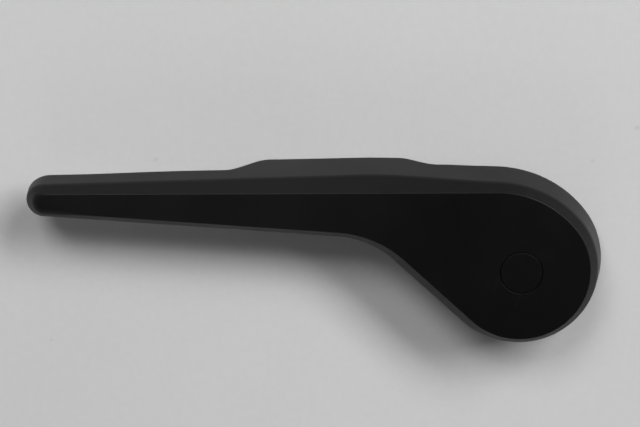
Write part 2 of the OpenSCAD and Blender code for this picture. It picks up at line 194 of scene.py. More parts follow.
def combine(piece, tool, operation):
    """Joins tool to piece, or cuts it away, and removes the tool."""
    modifier = piece.modifiers.new("combine", "BOOLEAN")
    modifier.object = tool
    modifier.operation = operation
    modifier.solver = "MANIFOLD"
    bake(piece)
    bpy.data.objects.remove(tool)
    return piece


def add(piece, tool):
    return combine(piece, tool, "UNION")


def cut(piece, tool):
    return combine(piece, tool, "DIFFERENCE")


def rounded(corners, steps=3):
    """A closed 2D outline from corners (u, v, radius), each corner rounded by its radius."""
    points = []
    count = len(corners)
    for i, (u, v, radius) in enumerate(corners):
        corner = np.array([u, v], float)
        if radius <= 0:
            points.append(corner)
            continue
        before = np.array(corners[i - 1][:2], float) - corner
        after = np.array(corners[(i + 1) % count][:2], float) - corner
        a, b = before / np.linalg.norm(before), after / np.linalg.norm(after)
        half = math.acos(max(-1.0, min(1.0, a @ b))) / 2
        room = 0.48 * min(np.linalg.norm(before), np.linalg.norm(after))
        reach = min(radius / math.tan(half), room)
        centre = corner + (a + b) / np.linalg.norm(a + b) * reach / math.cos(half)
        start, end = corner + a * reach - centre, corner + b * reach - centre
        turn = math.pi - 2 * half
        for k in range(steps + 1):
            t = k / steps
            blend = (math.sin((1 - t) * turn) * start + math.sin(t * turn) * end) / math.sin(turn)
            points.append(centre + blend)
    return np.array(points)


def signed_area(outline):
    """Area inside a closed outline, positive where it runs anticlockwise."""
    x, y = outline[:, 0], outline[:, 1]
    return np.sum(x * np.roll(y, -1) - np.roll(x, -1) * y) / 2


def revolve(name, corners, steps=96, centre=(0, 0), fillet_steps=3):
    """A solid of revolution about a vertical axis, from a closed profile of (radius, z, fillet)."""
    profile = rounded(corners, fillet_steps)
    if signed_area(profile) < 0:
        profile = profile[::-1]
    points = [
        (centre[0] + r * math.cos(a), centre[1] + r * math.sin(a), z)
        for a in full_turn(steps)
        for r, z in profile
    ]
    return merge(new_object(name, points, quads(steps, len(profile), closed=True, flipped=True)))


def merge(piece, distance=1e-7, split=False):
    """Welds points that coincide, drops what has closed up, and turns the normals out.

    split cuts faces of more than four corners into triangles, for faces a boolean has left ragged.
    """
    work = bmesh.new()
    work.from_mesh(piece.data)
    bmesh.ops.remove_doubles(work, verts=work.verts, dist=distance)
    if split:
        bmesh.ops.triangulate(work, faces=[face for face in work.faces if len(face.verts) > 4])
    bmesh.ops.dissolve_degenerate(work, edges=work.edges, dist=distance)
    bare_edges = [edge for edge in work.edges if not edge.link_faces]
    bmesh.ops.delete(work, geom=bare_edges, context="EDGES")
    bare_points = [point for point in work.verts if not point.link_faces]
    bmesh.ops.delete(work, geom=bare_points, context="VERTS")
    bmesh.ops.recalc_face_normals(work, faces=work.faces)
    work.to_mesh(piece.data)
    work.free()
    return piece


def disc(name, radius, low, high, centre=(0, 0), edge=0.0, steps=64):
    """A round boss or cutter between two heights."""
    return revolve(
        name,
        [(0, low, 0), (radius, low, edge), (radius, high, edge), (0, high, 0)],
        steps, centre, 2,
    )


def heights(node):
    """Lowest and highest point of a CAD node, in millimetres."""
    low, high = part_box(node)
    return low.z / MM, high.z / MM


def prism(name, outline, low, high, edge=0.0):
    """A plate from a closed outline, with rounded top and bottom edges."""
    if signed_area(outline) < 0:
        outline = outline[::-1]
    before, after = np.roll(outline, 1, 0) - outline, np.roll(outline, -1, 0) - outline
    along = unit_rows(unit_rows(after) - unit_rows(before))
    normals = np.stack([along[:, 1], -along[:, 0]], 1)
    steps = np.radians([0, 30, 60, 90]) if edge > 0 else np.array([0.0])
    lower = [(edge * (1 - math.sin(a)), low + edge * (1 - math.cos(a))) for a in steps]
    upper = [(inset, low + high - z) for inset, z in reversed(lower)]
    return tube(name, [
        np.concatenate([outline - inset * normals, np.full((len(outline), 1), z)], 1)
        for inset, z in lower + upper
    ])


def block(name, low, high, edge=0.3):
    """A rounded box; with no edge radius it is a plain cutter."""
    corners = [(low[0], low[1]), (high[0], low[1]), (high[0], high[1]), (low[0], high[1])]
    outline = rounded([(x, y, 1.3 * edge) for x, y in corners], 4)
    return prism(name, outline, low[2], high[2], edge)


def square(name, half, low, high, edge=0):
    """A square block about the pivot axis."""
    return block(name, (-half, -half, low), (half, half, high), edge)


def washer(node, outer, inner, edge, steps=96):
    """A flat ring between the heights of its CAD node, with its edges eased."""
    low, high = heights(node)
    corners = [(inner, low, edge), (outer, low, edge), (outer, high, edge), (inner, high, edge)]
    return revolve(node + "_ring", corners, steps)


def moved(piece, offset):
    piece.data.transform(Matrix.Translation(Vector(offset) * MM))
    return piece


def turned(piece, degrees):
    piece.data.transform(Matrix.Rotation(math.radians(degrees), 4, "Z"))
    return piece


def joined(pieces):
    """Separate meshes as one object."""
    work = bmesh.new()
    for piece in pieces:
        work.from_mesh(piece.data)
    work.to_mesh(pieces[0].data)
    work.free()
    for piece in pieces[1:]:
        bpy.data.objects.remove(piece)
    return pieces[0]


def soften(piece, width):
    """Rounds every sharp edge of a stamped or cut shape."""
    bevel = piece.modifiers.new("soften", "BEVEL")
    bevel.width = width * MM
    bevel.segments = 2
    bevel.limit_method = "ANGLE"
    bevel.angle_limit = math.radians(40)
    return bake(piece)


# ---------------- the lever's outline
class Outline:
    """Points round the flat face with their outward normals, clockwise from the tip, as in the CAD model."""

    def __init__(self, n_tip, n_arm, n_hollow, n_flank, n_crown, n_hub):
        up, low, flank = (math.radians(s) for s in (UPPER_SLOPE, LOWER_SLOPE, FLANK_SLOPE))
        upper_n = np.array([-math.sin(up), math.cos(up)])
        lower_n = np.array([-math.sin(low), -math.cos(low)])
        flank_n = np.array([-math.sin(flank), -math.cos(flank)])
        crown_c = HUB_CENTRE + (HUB_R - CROWN_R) * polar(1, CROWN_END)
        self.upper_hub = crown_c + CROWN_R * upper_n
        tip_edge = self.upper_on(TIP_R - REACH + TIP_R * upper_n[0])
        tip_c = tip_edge - TIP_R * upper_n
        self.lower_tip = tip_c + TIP_R * lower_n
        flank_hub = HUB_CENTRE + HUB_R * flank_n
        hollow_c = np.linalg.solve(
            np.array([lower_n, flank_n]),
            np.array([HOLLOW_R + self.lower_tip @ lower_n, HOLLOW_R + flank_hub @ flank_n]),
        )
        lower_hollow = hollow_c - HOLLOW_R * lower_n
        flank_hollow = hollow_c - HOLLOW_R * flank_n
        rows = [
            self.arc(tip_c, TIP_R, 180, 90 + UPPER_SLOPE, n_tip),
            self.run(tip_edge, self.upper_on(lower_hollow[0]), upper_n, n_arm),
            self.run(self.upper_on(lower_hollow[0]), self.upper_on(flank_hollow[0]), upper_n, n_hollow),
            self.run(self.upper_on(flank_hollow[0]), self.upper_hub, upper_n, n_flank),
            self.arc(crown_c, CROWN_R, 90 + UPPER_SLOPE, CROWN_END, n_crown),
            self.arc(HUB_CENTRE, HUB_R, CROWN_END, HUB_SPLIT, n_hub),
            self.arc(HUB_CENTRE, HUB_R, HUB_SPLIT, -90 - FLANK_SLOPE, n_crown + n_hub),
            self.run(flank_hub, flank_hollow, flank_n, n_flank),
            self.arc(hollow_c, HOLLOW_R, 90 - FLANK_SLOPE, 90 - LOWER_SLOPE, n_hollow, -1),
            self.run(lower_hollow, self.lower_tip, lower_n, n_arm),
            self.arc(tip_c, TIP_R, 270 - LOWER_SLOPE, 180, n_tip),
        ]
        both = np.concatenate(rows)
        self.points, self.normals = both[:, :2], both[:, 2:]

    def upper_on(self, x):
        """Point of the upper edge's straight line at x."""
        slope = math.tan(math.radians(UPPER_SLOPE))
        return np.array([x, self.upper_hub[1] + (x - self.upper_hub[0]) * slope])

    def lower_on(self, x):
        """Point of the lower edge's straight line at x."""
        slope = math.tan(math.radians(LOWER_SLOPE))
        return np.array([x, self.lower_tip[1] - (x - self.lower_tip[0]) * slope])

    def middle(self, x):
        """Middle of the arm's face at x."""
        return (self.upper_on(x)[1] + self.lower_on(x)[1]) / 2

    @staticmethod
    def arc(centre, radius, start, end, count, side=1):
        """Points and normals along an arc between two angles; side is -1 where it hollows the outline."""
        a = np.radians(start + (end - start) * np.arange(count) / count)
        u = np.stack([np.cos(a), np.sin(a)], 1)
        return np.concatenate([centre + radius * u, side * u], 1)

    @staticmethod
    def run(start, end, normal, count):
        """Points and normals along a straight edge."""
        k = (np.arange(count) / count)[:, None]
        return np.concatenate([start + (end - start) * k, np.tile(normal, (count, 1))], 1)

    def bevel(self):
        """Width of the bevel below the face at each point."""
        x = self.points[:, 0]
        across, along = self.normals[:, 0], self.normals[:, 1]
        upper = np.where(
            x < BEVEL_PEAK_X,
            mix(BEVEL_TIP, BEVEL_ARM, (x + REACH) / (BEVEL_PEAK_X + REACH)),
            mix(BEVEL_ARM, BEVEL_HUB, smooth((x - BEVEL_PEAK_X) / -BEVEL_PEAK_X)),
        )
        return (
            np.where(along > 0, upper, BEVEL_UNDER) * along**2
            + np.where(across > 0, BEVEL_END, BEVEL_NOSE) * across**2
        )

    def rim(self):
        """Height of the skirt's rim at each point."""
        x = self.points[:, 0]
        plain = mix(RIM_ARM_Z, RIM_HUB_Z, smooth((x - HUB_FALL_X) / HUB_FALL))
        plain = plain + (RIM_TIP_Z - RIM_ARM_Z) * smooth((TIP_RISE_X - x) / TIP_RISE)
        deep = smooth((x - DEEP_START) / LONG_RAMP) * smooth((DEEP_END - x) / SHORT_RAMP)
        return np.where(self.normals[:, 1] > UPPER_SIDE, mix(plain, RIM_DEEP_Z, deep), plain)

    def level(self, section):
        """Points of one level: section holds each point's distance outward and its height."""
        return np.concatenate([self.points + section[:, :1] * self.normals, section[:, 1:]], 1)


def fillet(before, corner, after, radius, steps, free=0.45):
    """Sections that round a corner of the profile, for every outline point at once.

    free is how much of the side towards before the rounding may take.
    """
    to_before, to_after = before - corner, after - corner
    a, b = unit_rows(to_before), unit_rows(to_after)
    half = np.arccos(np.clip(np.sum(a * b, 1), -1, 1)) / 2
    room = np.minimum(free * np.linalg.norm(to_before, axis=1), 0.45 * np.linalg.norm(to_after, axis=1))
    reach = np.minimum(radius / np.tan(half), room)[:, None]
    centre = corner + unit_rows(a + b) * reach / np.cos(half)[:, None]
    start, end = corner + a * reach - centre, corner + b * reach - centre
    turn = (np.pi - 2 * half)[:, None]
    return [
        centre + (np.sin((1 - t) * turn) * start + np.sin(t * turn) * end) / np.sin(turn)
        for t in np.linspace(0, 1, steps + 1)
    ]


def strip_faces(n, base, upward):
    """Faces that close a ring of n points, joining each point of the upper side to its opposite."""
    faces = [(0, 1, n - 1)]
    faces += [(i, i + 1, n - i - 1, n - i) for i in range(1, n // 2 - 1)]
    faces.append((n // 2 - 1, n // 2, n // 2 + 1))
    if upward:
        return [tuple(base + k for k in reversed(f)) for f in faces]
    return [tuple(base + k for k in f) for f in faces]


def loft(name, levels):
    """A closed skin through rings of equal length, from the top ring down the outside and up the inside."""
    n = len(levels[0])
    faces = strip_faces(n, 0, True) + quads(len(levels), n)
    faces += strip_faces(n, (len(levels) - 1) * n, False)
    return new_object(name, np.concatenate(levels), faces)


# ---------------- lever moulding
OUTLINE = Outline(n_tip=20, n_arm=96, n_hollow=36, n_flank=22, n_crown=34, n_hub=46)
FACE_EDGE_R, TIP_EDGE_R, BEVEL_EDGE_R, RIM_EDGE_R = 0.36, 4.2, 4.5, 0.5
TIP_SOFT_START, TIP_SOFT_END = -142.0, -128.0  # where the face's edge is soft, and where it is crisp again
SOFT_FACING = 0.9  # how far a normal has to point to -X or -Y for the full softness
FLAT_INSET, TIP_INSET = 1.3, 2.5  # from the outline to where the flat face starts
RIM_INNER_R, WALL_TOP_R, CEILING_R = 0.3, 1.0, 0.6
INNER_STEP = 1.0  # from the bevel's lower edge down to the top of the inner wall
CEILING_EDGE, CEILING_INSET = 1.0, 1.7
BOSS_R, CORE_POST_R, COVER_POST_R = 11.4, 2.9, 2.3
RIB_XS, RIB_T = (-76.0, -88.0, -112.0), 1.2
BORE_R, BORE_TOP = 8.7, 18.6
SINK = 0.3  # how far a boss or rib reaches into the ceiling

CORE_Z, CORE_TOP = 12.3, 14.3
COVER_Z, COVER_T = 10.4, 1.5
THREAD_R, THREAD_DEPTH = 1.25, 0.25
SCREW_HEAD_R, SCREW_HEAD_H = 2.6, 1.4
HUB_SCREW_CIRCLE, HUB_SCREW_ANGLES = 14.5, (30, 152, 270)
CORE_SCREW_SPOTS = [polar(HUB_SCREW_CIRCLE, a) for a in HUB_SCREW_ANGLES]
CORE_SCREW_SPOTS += [np.array([x, OUTLINE.middle(x)]) for x in (-55.0, -98.0)]
COVER_SCREW_SPOTS = [np.array([-124.0, OUTLINE.middle(-124.0)]), np.array([-33.0, 20.3])]
CORE_SCREW_L, COVER_SCREW_L = 7.0, 6.0
CAP_R, CAP_GAP, CAP_RECESS, CAP_HOLE_R, CAP_T = 6.1, 0.2, 1.6, 5.2, 1.4
LEG_IN, LEG_OUT, LEG_SLOT = 4.35, 5.0, 2.4

PIN_R, PIN_CIRCLE = 1.25, 16.4
DRIVE_PIN_ANGLE, ANCHOR_PIN_ANGLE = 205, 250
DRIVE_HALF = 6  # half the width of the sleeve's square drive
CORE_DISC_R = 13
LOBE_R = 3  # also half the width of the core's webs and tab
TAB_ANGLE, TAB_IN, TAB_OUT, TAB_LOW = 60, 16, 18, 5.3
TAB_LOBE = 14.9  # 0.1 less than in the CAD model, so that its edge doesn't just touch the tab's outer face
CORE_LOBES = [(HUB_SCREW_CIRCLE, a) for a in HUB_SCREW_ANGLES]
CORE_LOBES += [(PIN_CIRCLE, DRIVE_PIN_ANGLE), (TAB_LOBE, TAB_ANGLE)]


def section(width, height):
    """One corner of the profile for every outline point: distance outward and height."""
    n = len(OUTLINE.points)
    return np.stack([np.broadcast_to(width, n), np.broadcast_to(height, n)], 1).astype(float)


def inner_out(height):
    """Distance of the skirt's inner face from the face outline at a height."""
    bevel = OUTLINE.bevel()
    return bevel - WALL + (FACE_Z - bevel * BEVEL_TAN - INNER_STEP - height) * DRAFT_TAN


def moulding_levels():
    """Rings of the moulding: flat face, bevel, skirt, rim, inner wall and ceiling."""
    bevel, rim = OUTLINE.bevel(), OUTLINE.rim()
    bevel_z = FACE_Z - bevel * BEVEL_TAN
    inner_z = bevel_z - INNER_STEP
    near_tip = smooth((TIP_SOFT_END - OUTLINE.points[:, 0]) / (TIP_SOFT_END - TIP_SOFT_START))
    soft_tip = near_tip * smooth(-OUTLINE.normals.min(axis=1) / SOFT_FACING)
    face_radius = mix(FACE_EDGE_R, TIP_EDGE_R, soft_tip)
    flat = section(-mix(FLAT_INSET, TIP_INSET, soft_tip), FACE_Z)
    face_edge = section(0, FACE_Z)
    bevel_edge = section(bevel, bevel_z)
    rim_outer = section(bevel + (bevel_z - rim) * DRAFT_TAN, rim)
    rim_inner = section(inner_out(rim), rim)
    inner_edge = section(inner_out(inner_z), inner_z)
    ceiling_edge = section(-CEILING_EDGE, CEILING_Z)
    ceiling = section(-CEILING_INSET, CEILING_Z)
    upper = fillet(face_edge, bevel_edge, rim_outer, BEVEL_EDGE_R, 7)
    lower = fillet(bevel_edge, rim_outer, rim_inner, RIM_EDGE_R, 4)
    wall = [mix(upper[-1], lower[0], k) for k in (0.25, 0.5, 0.75)]
    sections = [
        flat,
        *fillet(flat, face_edge, bevel_edge, face_radius, 7, free=0.9),
        *upper,
        *wall,
        *lower,
        *fillet(rim_outer, rim_inner, inner_edge, RIM_INNER_R, 3),
        *fillet(rim_inner, inner_edge, ceiling_edge, WALL_TOP_R, 3),
        *fillet(inner_edge, ceiling_edge, ceiling, CEILING_R, 3),
        ceiling,
    ]
    return [OUTLINE.level(s) for s in sections]


def lever_shell():
    """Moulding with the hub's boss, the screw posts, the ribs and the seat of the cap."""
    piece = loft("lever_moulding", moulding_levels())
    roof = CEILING_Z + SINK
    add(piece, disc("boss", BOSS_R, CORE_TOP, roof, edge=0.3))
    for spot in CORE_SCREW_SPOTS:
        add(piece, disc("post", CORE_POST_R, CORE_TOP, roof, spot, 0.2, 32))
    for spot in COVER_SCREW_SPOTS:
        add(piece, disc("post", COVER_POST_R, COVER_Z + COVER_T, roof, spot, 0.2, 32))
    for x in RIB_XS:
        low, high = OUTLINE.lower_on(x)[1], OUTLINE.upper_on(x)[1]
        add(piece, block("rib", (x, low, CORE_TOP + 0.6), (x + RIB_T, high, roof), 0.3))
    seat_r, seat_z, over = CAP_R + CAP_GAP, FACE_Z - CAP_RECESS, FACE_Z + 0.1
    cut(piece, revolve("bore", [
        (0, CORE_TOP - 1.3, 0), (BORE_R, CORE_TOP - 1.3, 0), (BORE_R, BORE_TOP, 0.3),
        (CAP_HOLE_R, BORE_TOP, 0.2), (CAP_HOLE_R, seat_z, 0.1), (seat_r, seat_z, 0.2),
        (seat_r, FACE_Z - 0.12, 0), (seat_r + 0.22, over, 0), (0, over, 0),
    ]))
    for spot in CORE_SCREW_SPOTS:
        cut(piece, disc("pilot", THREAD_R, CORE_TOP - 1, CORE_TOP - 1 + CORE_SCREW_L, spot, steps=24))
    for spot in COVER_SCREW_SPOTS:
        cut(piece, disc("pilot", THREAD_R, COVER_Z, COVER_Z + COVER_SCREW_L + 1, spot, steps=24))
    return piece


def hub_cap():
    """Clip-in disc with a rounded edge, on a ring of four sprung legs with catch beads."""
    low, high = heights("hub_cap")
    under = high - CAP_T
    piece = revolve("cap_disc", [(0, under, 0), (CAP_R, under, 0.2), (CAP_R, high, 0.15), (0, high, 0)])
    legs = revolve("cap_legs", [
        (LEG_IN, low, 0.15), (4.85, low, 0.1), (5.15, low + 0.55, 0.15), (LEG_OUT, low + 1.0, 0.1),
        (LEG_OUT, under + 0.4, 0), (LEG_IN, under + 0.4, 0),
    ])
    for turn in (45, 135):
        cut(legs, turned(block("slot", (-7, -LEG_SLOT / 2, low - 1), (7, LEG_SLOT / 2, under), 0), turn))
    return add(piece, legs)


def steel_core():
    """Stamped plate: hub disc with lobes, arm strip, bent stop tab, square hole and countersinks."""
    piece = disc("core_disc", CORE_DISC_R, CORE_Z, CORE_TOP)
    for radius, angle in CORE_LOBES:
        add(piece, disc("lobe", LOBE_R, CORE_Z, CORE_TOP, polar(radius, angle), steps=48))
        add(piece, turned(block("web", (0, -LOBE_R, CORE_Z), (radius, LOBE_R, CORE_TOP), 0), angle))
    bend, end = -48.0, -104.0
    strip = [
        (-12, -4, 2), (-8, 10, 2),
        (bend, OUTLINE.middle(bend) + 3.5, 6), (end, OUTLINE.middle(end) + 3.8, 2),
        (end, OUTLINE.middle(end) - 3.8, 2), (bend, OUTLINE.middle(bend) - 4.5, 6),
    ]
    add(piece, prism("strip", rounded(strip, 6), CORE_Z, CORE_TOP))
    tab = block("tab", (TAB_IN, -LOBE_R, TAB_LOW), (TAB_OUT, LOBE_R, CORE_TOP), 0)
    add(piece, turned(tab, TAB_ANGLE))
    below, above = CORE_Z - 1, CORE_TOP + 1
    cut(piece, square("square", DRIVE_HALF, below, above))
    cut(piece, disc("pin_hole", PIN_R, below, above, polar(PIN_CIRCLE, DRIVE_PIN_ANGLE), steps=32))
    for spot in CORE_SCREW_SPOTS:
        cut(piece, countersink(spot, CORE_Z))
    return soften(piece, 0.2)


def countersink(spot, z):
    """Cutter for a screw's cone and clearance hole, open downwards at z."""
    hole_r = THREAD_R + 0.25
    return revolve("sink", [
        (0, z - 0.5, 0), (SCREW_HEAD_R + 0.6, z - 0.5, 0), (hole_r, z + 1.35, 0),
        (hole_r, z + 4, 0), (0, z + 4, 0),
    ], 40, spot)


CREST, FLANK = 1.3, 3.2  # shape of a thread's ridge: it is flat where their line passes 1


def thread(name, radius, depth, low, high, pitch, centre=(0, 0), steps=24, inside=False):
    """A threaded rod, or with inside, a core to cut a thread with, as one closed helical skin."""
    rows = max(8, int((high - low) / pitch * 8))
    z = np.linspace(low, high, rows + 1)
    turns = z[:, None] / pitch - full_turn(steps)[None, :] / (2 * math.pi)
    ridge = np.clip(CREST - FLANK * np.abs(turns % 1 - 0.5), 0, 1)
    fade = smooth(np.minimum(z - low, high - z) / (0.9 * pitch))[:, None]
    radii = radius - depth + depth * ridge * (1 if inside else fade)
    return tube(name, round_rings(radii, z, centre))


CROSS_HALF, CROSS_W, CROSS_DEPTH = 1.35, 0.56, 0.9
SCREW_PITCH = 0.9


def cross_recess(spot, z, depth):
    """Cutter for a cross recess that opens downwards at z."""
    low, high = (-CROSS_HALF, -CROSS_W / 2, z - 1), (CROSS_HALF, CROSS_W / 2, z + depth)
    bars = [moved(turned(block("bar", low, high, 0), turn), (*spot, 0)) for turn in (20, 110)]
    return add(*bars)


def countersunk_screws(spots, z, length):
    """Self-tapping screws with raised threads, as one piece."""
    screws = []
    for spot in spots:
        screw = revolve("head", [
            (0, z, 0), (SCREW_HEAD_R, z, 0.15), (SCREW_HEAD_R - 0.1, z + 0.2, 0.1),
            (THREAD_R - 0.2, z + SCREW_HEAD_H, 0), (0, z + SCREW_HEAD_H, 0),
        ], 48, spot)
        add(screw, thread("thread", THREAD_R, THREAD_DEPTH, z + 1.1, z + length, SCREW_PITCH, spot))
        screws.append(cut(screw, cross_recess(spot, z, CROSS_DEPTH)))
    return joined(screws)


JOURNAL_R, FLANGE_R, FLANGE_Z, THRUST_BORE_R = 8, 11, 11, 8.3
GROOVE_R, GROOVE_LOW, GROOVE_TOP = 7.2, 1.0, 2.2
SOCKET_HALF, SOCKET_DEPTH = 4.05, 8.4
LEAD_WIDE, LEAD_NARROW, LEAD_DEPTH = 6.4, 4.6, 0.8  # the cone at the mouth of the socket
SPINDLE_R, SPINDLE_PITCH, SPINDLE_DEPTH, SPINDLE_HOLE_R = 2.5, 0.8, 0.35, 2.7
PAN_R, PAN_H, HEX_R, WASHER_R, WASHER_HOLE_R = 4.1, 2.5, 2, 4.9, 2.65


def hub_sleeve():
    """Turned sleeve: grooved journal, flange, square drive and broached spindle socket."""
    low, high = heights("hub_sleeve")
    piece = revolve("sleeve", [
        (0, low, 0), (JOURNAL_R, low, 0.3), (JOURNAL_R, GROOVE_LOW, 0.05), (GROOVE_R, GROOVE_LOW, 0),
        (GROOVE_R, GROOVE_TOP, 0), (JOURNAL_R, GROOVE_TOP, 0.05), (JOURNAL_R, FLANGE_Z, 0.1),
        (FLANGE_R, FLANGE_Z, 0.25), (FLANGE_R, CORE_Z, 0.25), (0, CORE_Z, 0),
    ])
    add(piece, square("drive", DRIVE_HALF, CORE_Z - 0.5, high, 0.25))
    cut(piece, square("socket", SOCKET_HALF, low - 1, low + SOCKET_DEPTH))
    lead_z = low + LEAD_DEPTH
    cut(piece, revolve("lead_in", [
        (0, low - 1, 0), (LEAD_WIDE, low - 1, 0), (LEAD_NARROW, lead_z, 0), (0, lead_z, 0),
    ]))
    return cut(piece, disc("hole", SPINDLE_HOLE_R, low, high + 1, steps=48))


def spindle_screw():
    """Pan-head machine screw with a hexagon recess."""
    low, high = heights("spindle_screw")
    head = high - PAN_H
    piece = revolve("pan_head", [(0, head, 0), (PAN_R, head, 0.25), (PAN_R, high, 0.7), (0, high, 0)])
    add(piece, thread("spindle_thread", SPINDLE_R, SPINDLE_DEPTH, low, head + 0.3, SPINDLE_PITCH, steps=36))
    return cut(piece, disc("hex", HEX_R, head + 0.7, high + 1, steps=6))


def dowel(node, angle):
    """A straight pin on the pins' circle."""
    low, high = heights(node)
    return disc(node + "_dowel", PIN_R, low, high, polar(PIN_CIRCLE, angle), 0.2, 32)


def arm_damper():
    low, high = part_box("arm_damper")
    return block("felt_block", tuple(low / MM), tuple(high / MM), 0.45)


COVER_END_X, COVER_GAP = -27.0, 0.25
COVER_PANELS, PANEL_DEPTH = ((-113.0, -86.0), (-79.0, -44.0)), 0.35


def rear_cover():
    """Snug back plate of the arm with rounded edges, countersinks and two shallow recesses."""
    low, high = heights("rear_cover")
    total = len(OUTLINE.points)
    count = int(np.sum(OUTLINE.points[: total // 2, 0] < COVER_END_X))
    chosen = list(range(count)) + list(range(total - count, total))
    edge = (inner_out(low) - COVER_GAP)[:, None] * OUTLINE.normals + OUTLINE.points
    piece = prism("cover_plate", edge[chosen], low, high, 0.3)
    for x_end, x_start in COVER_PANELS:
        y = [OUTLINE.middle(x_end), OUTLINE.middle(x_start)]
        half = [0.25 * (OUTLINE.upper_on(x)[1] - OUTLINE.lower_on(x)[1]) + 1.4 for x in (x_end, x_start)]
        panel = rounded([
            (x_end, y[0] - half[0], 2), (x_start, y[1] - half[1], 2),
            (x_start, y[1] + half[1], 2), (x_end, y[0] + half[0], 2),
        ], 5)
        cut(piece, prism("panel", panel, low - 1, low + PANEL_DEPTH))
    for spot in COVER_SCREW_SPOTS:
        cut(piece, countersink(spot, low))
    return piece


def retaining_ring():
    """Open snap ring with two lugs' holes beside its gap."""
    low, high = heights("retaining_ring")
    rows, half_gap = [], 2.5
    for radius, way in ((10.0, 1), (7.3, -1)):
        gap = math.degrees(math.asin(half_gap / radius))
        start, end = -90 + gap, 270 - gap
        rows += [polar(radius, a) for a in np.linspace(start, end, 110)[::way]]
    piece = prism("snap_ring", np.array(rows), low, high, 0.18)
    for side in (-1, 1):
        cut(piece, disc("lug", 0.6, low - 1, high + 1, (side * 4.2, -8.2), steps=24))
    return piece


def wave_washer():
    """Spring washer with three waves between the retaining ring and the housing."""
    low, high = heights("wave_washer")
    leaf, steps, radii = 0.35, 144, (8.3, 8.42, 10.78, 10.9)
    rise = (high - low - leaf) / 2
    angles = full_turn(steps)
    middle = (low + high) / 2 + rise * np.sin(3 * angles)
    lower = [(radii[0], -0.3), (radii[1], -0.5), (radii[2], -0.5), (radii[3], -0.3)]
    leaf_section = lower + [(r, -side) for r, side in reversed(lower)]
    points = [
        (r * math.cos(a), r * math.sin(a), m + side * leaf)
        for a, m in zip(angles, middle)
        for r, side in leaf_section
    ]
    faces = quads(steps, len(leaf_section), closed=True, flipped=True)
    return merge(new_object("wave_spring", points, faces))


# ---------------- base pieces
PLATE_R, PLATE_T, STEP_R, STEP_Z = 21.5, 3.4, 19.4, 4.2
SEAL_IN, SEAL_OUT, SEAL_DEPTH = 19.3, 20.6, 1.2
RECESS_R, RECESS_DEPTH = 11.5, 3.2
HOUSING_R, BUSH_SEAT_R, HOUSING_TOP = 12, 9.6, 9.4
INSERT_ANGLES, INSERT_PITCH_R, INSERT_R, INSERT_BOSS_R = (40, 160, 280), 16.0, 2.8, 3.1
TRAVEL = next(j for j in frame["joints"] if j["name"] == "lever_pivot")["range_deg"][1]
TAB_HALF = math.degrees(math.atan(LOBE_R / TAB_IN))
BUFFERS = {
    "rest_buffer": (TAB_ANGLE + TAB_HALF, 1),
    "end_buffer": (TAB_ANGLE - TRAVEL - TAB_HALF, -1),
}
BUFFER_W, BUFFER_T, BUFFER_H, BUFFER_CIRCLE, BUFFER_GAP = 4.4, 4.0, 4.6, 17, 0.08
PEG_R, POST_T = 1.3, 1.8


def at_buffer(piece, angle, side):
    """Puts a piece made at a buffer's own corner where that buffer stands."""
    y = BUFFER_GAP if side > 0 else -BUFFER_T - BUFFER_GAP
    return turned(moved(piece, (BUFFER_CIRCLE - BUFFER_W / 2, y, STEP_Z)), angle)


def buffer_peg():
    return disc("peg", PEG_R, -2.5, 0.5, (BUFFER_W / 2, BUFFER_T / 2), 0, 32)


def base_plate():
    """Moulded base: stepped flange with a seal groove, bush housing, insert bosses and buffer backs."""
    piece = revolve("base_moulding", [
        (RECESS_R, 0, 0.3), (SEAL_IN, 0, 0), (SEAL_IN, SEAL_DEPTH, 0), (SEAL_OUT, SEAL_DEPTH, 0),
        (SEAL_OUT, 0, 0), (PLATE_R, 0, 0.3), (PLATE_R, PLATE_T, 0.6), (STEP_R, PLATE_T, 0.2),
        (STEP_R, STEP_Z, 0.3), (HOUSING_R, STEP_Z, 0.5), (HOUSING_R, HOUSING_TOP, 0.2),
        (BUSH_SEAT_R, HOUSING_TOP, 0.2), (BUSH_SEAT_R, RECESS_DEPTH, 0.1), (RECESS_R, RECESS_DEPTH, 0.2),
    ], 144)
    for angle in INSERT_ANGLES:
        add(piece, disc("boss", INSERT_BOSS_R, 2, 4.8, polar(INSERT_PITCH_R, angle), 0.25, 40))
    anchor_spot = polar(PIN_CIRCLE, ANCHOR_PIN_ANGLE)
    add(piece, disc("anchor_boss", 2.2, 2, 4.7, anchor_spot, 0.25, 40))
    for angle, side in BUFFERS.values():
        back = BUFFER_T if side > 0 else -POST_T
        post = block("post", (0.6, back, -1), (BUFFER_W - 0.6, back + POST_T, BUFFER_H - 1), 0.25)
        add(piece, at_buffer(post, angle, side))
        cut(piece, at_buffer(buffer_peg(), angle, side))
    for angle in INSERT_ANGLES:
        cut(piece, disc("insert_hole", INSERT_R, -1, 4, polar(INSERT_PITCH_R, angle), 0, 48))
        cut(piece, disc("through", 2.3, 3.5, 6, polar(INSERT_PITCH_R, angle), 0, 40))
    return cut(piece, disc("pin_hole", PIN_R, 1.5, 6, anchor_spot, 0, 32))


def bearing_bush():
    """Flanged bush in the housing, with a running gap round the journal."""
    low, high = heights("bearing_bush")
    bore = JOURNAL_R + 0.05
    return revolve("bush", [
        (bore, low, 0.3), (BUSH_SEAT_R, low, 0.3), (BUSH_SEAT_R, HOUSING_TOP, 0),
        (HOUSING_R, HOUSING_TOP, 0.2), (HOUSING_R, high, 0.25), (bore, high, 0.4),
    ], 128)


TAP_R, TAP_DEPTH, TAP_PITCH = 2.25, 0.25, 0.7
KNURL_SLANT, KNURL_WAVES, KNURL_FADE = 1.6, 7.5, 0.5


